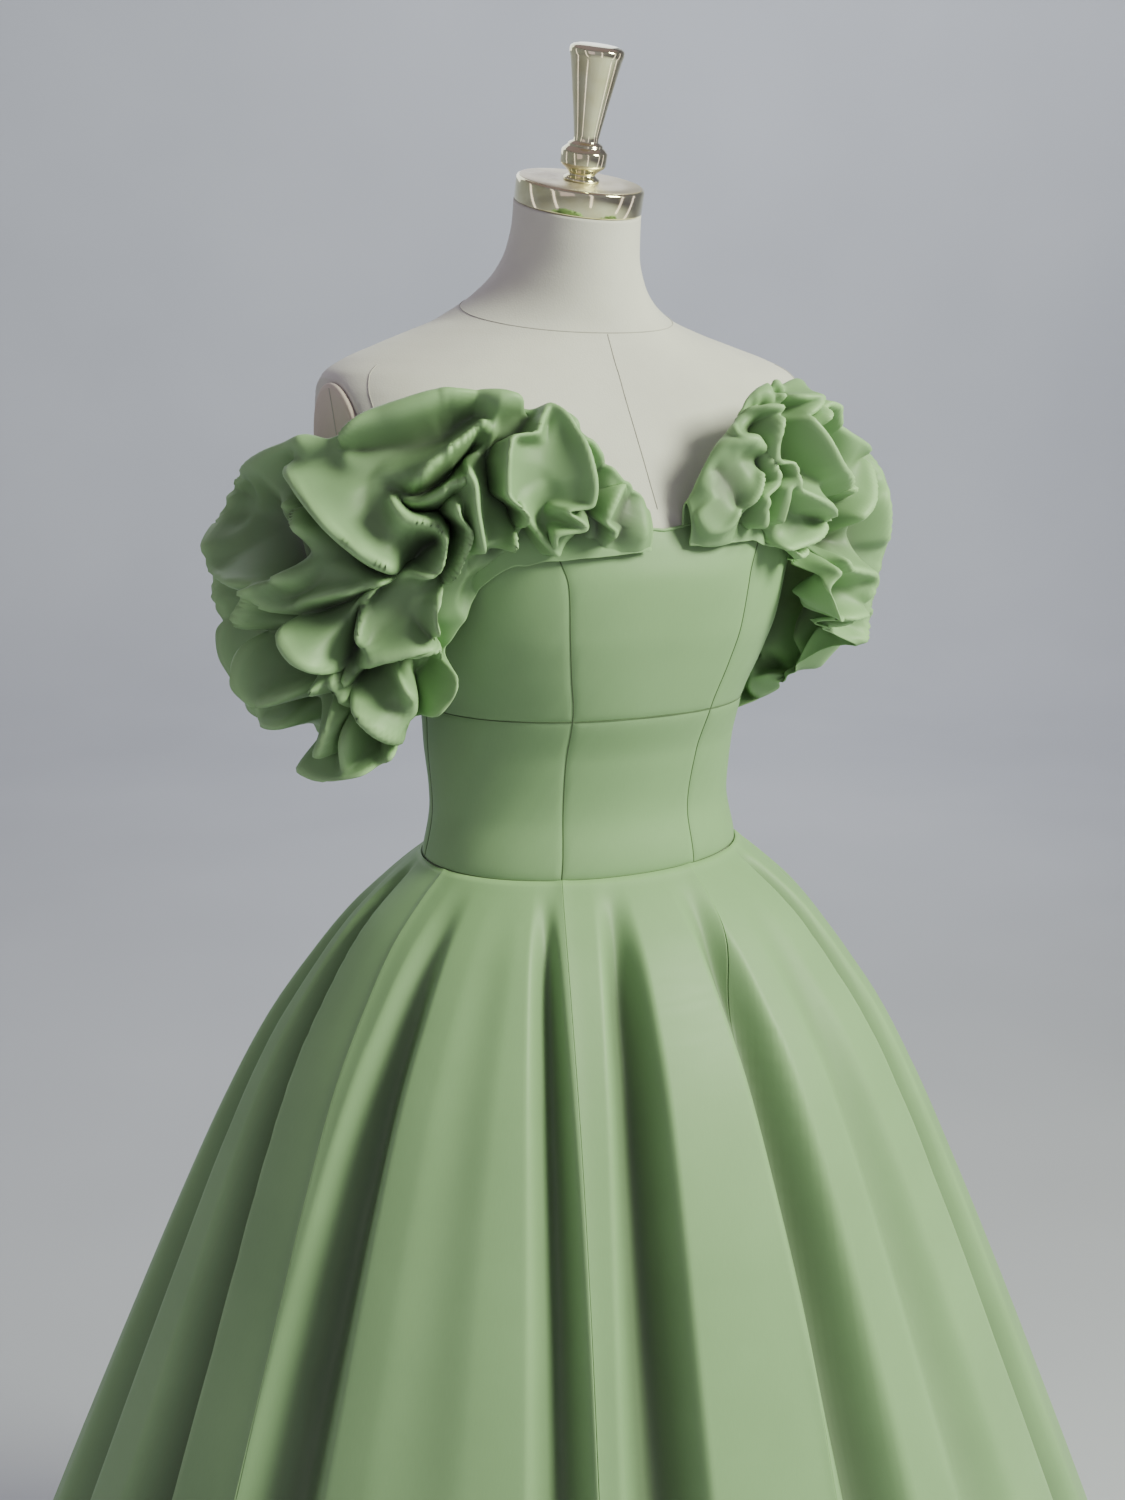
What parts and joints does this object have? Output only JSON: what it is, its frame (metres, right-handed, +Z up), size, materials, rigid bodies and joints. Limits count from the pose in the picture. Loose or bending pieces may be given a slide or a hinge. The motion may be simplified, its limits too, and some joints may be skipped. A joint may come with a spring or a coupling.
{
  "type": "a-line dress on a dress form",
  "caption": "Floor-length off-shoulder a-line satin gown with puffed ruffle sleeves, worn by a limbless dress form with a gold neck cap on a round stand.",
  "frame": {"origin": "centre of the stand base's underside, on the floor", "axes": "+Z up, the wearer faces -Y, so the wearer's left is +X"},
  "size_m": [1.2469, 1.1179, 1.6265],
  "materials": {
    "satin": "matte satin with a soft sheen",
    "jersey": "off-white jersey",
    "plate_cover": "beige cover cloth",
    "gold": "polished pale gold",
    "steel": "brushed",
    "zip_metal": "painted to match the cloth"
  },
  "bodies": {
    "dress_and_form": {"bodice_back_left": "satin", "bodice_back_right": "satin", "bodice_front_centre": "satin", "bodice_side_left": "satin", "bodice_side_right": "satin", "form_arm_plate_left": "plate_cover", "form_arm_plate_right": "plate_cover", "form_finial": "gold", "form_neck_cap": "gold", "form_torso": "jersey", "midriff_back_left": "satin", "midriff_back_right": "satin", "midriff_front_centre": "satin", "midriff_side_left": "satin", "midriff_side_right": "satin", "ruffle_back_left": "satin", "ruffle_back_right": "satin", "ruffle_front_left": "satin", "ruffle_front_right": "satin", "ruffle_sleeve_left": "satin", "ruffle_sleeve_right": "satin", "skirt_back_left": "satin", "skirt_back_right": "satin", "skirt_back_side_left": "satin", "skirt_back_side_right": "satin", "skirt_front_centre": "satin", "skirt_front_side_left": "satin", "skirt_front_side_right": "satin", "stand_base": "steel", "stand_pole": "steel", "zip_slider": "zip_metal"},
    "zip_pull": {"zip_pull_tab": "zip_metal"}
  },
  "joints": [
    {"name": "zip_pull_hinge", "type": "hinge", "parent": "dress_and_form", "child": "zip_pull", "pos_m": [0, 0.1049, 1.262], "axis": [1, 0, 0], "range_deg": [0, 150]}
  ]
}
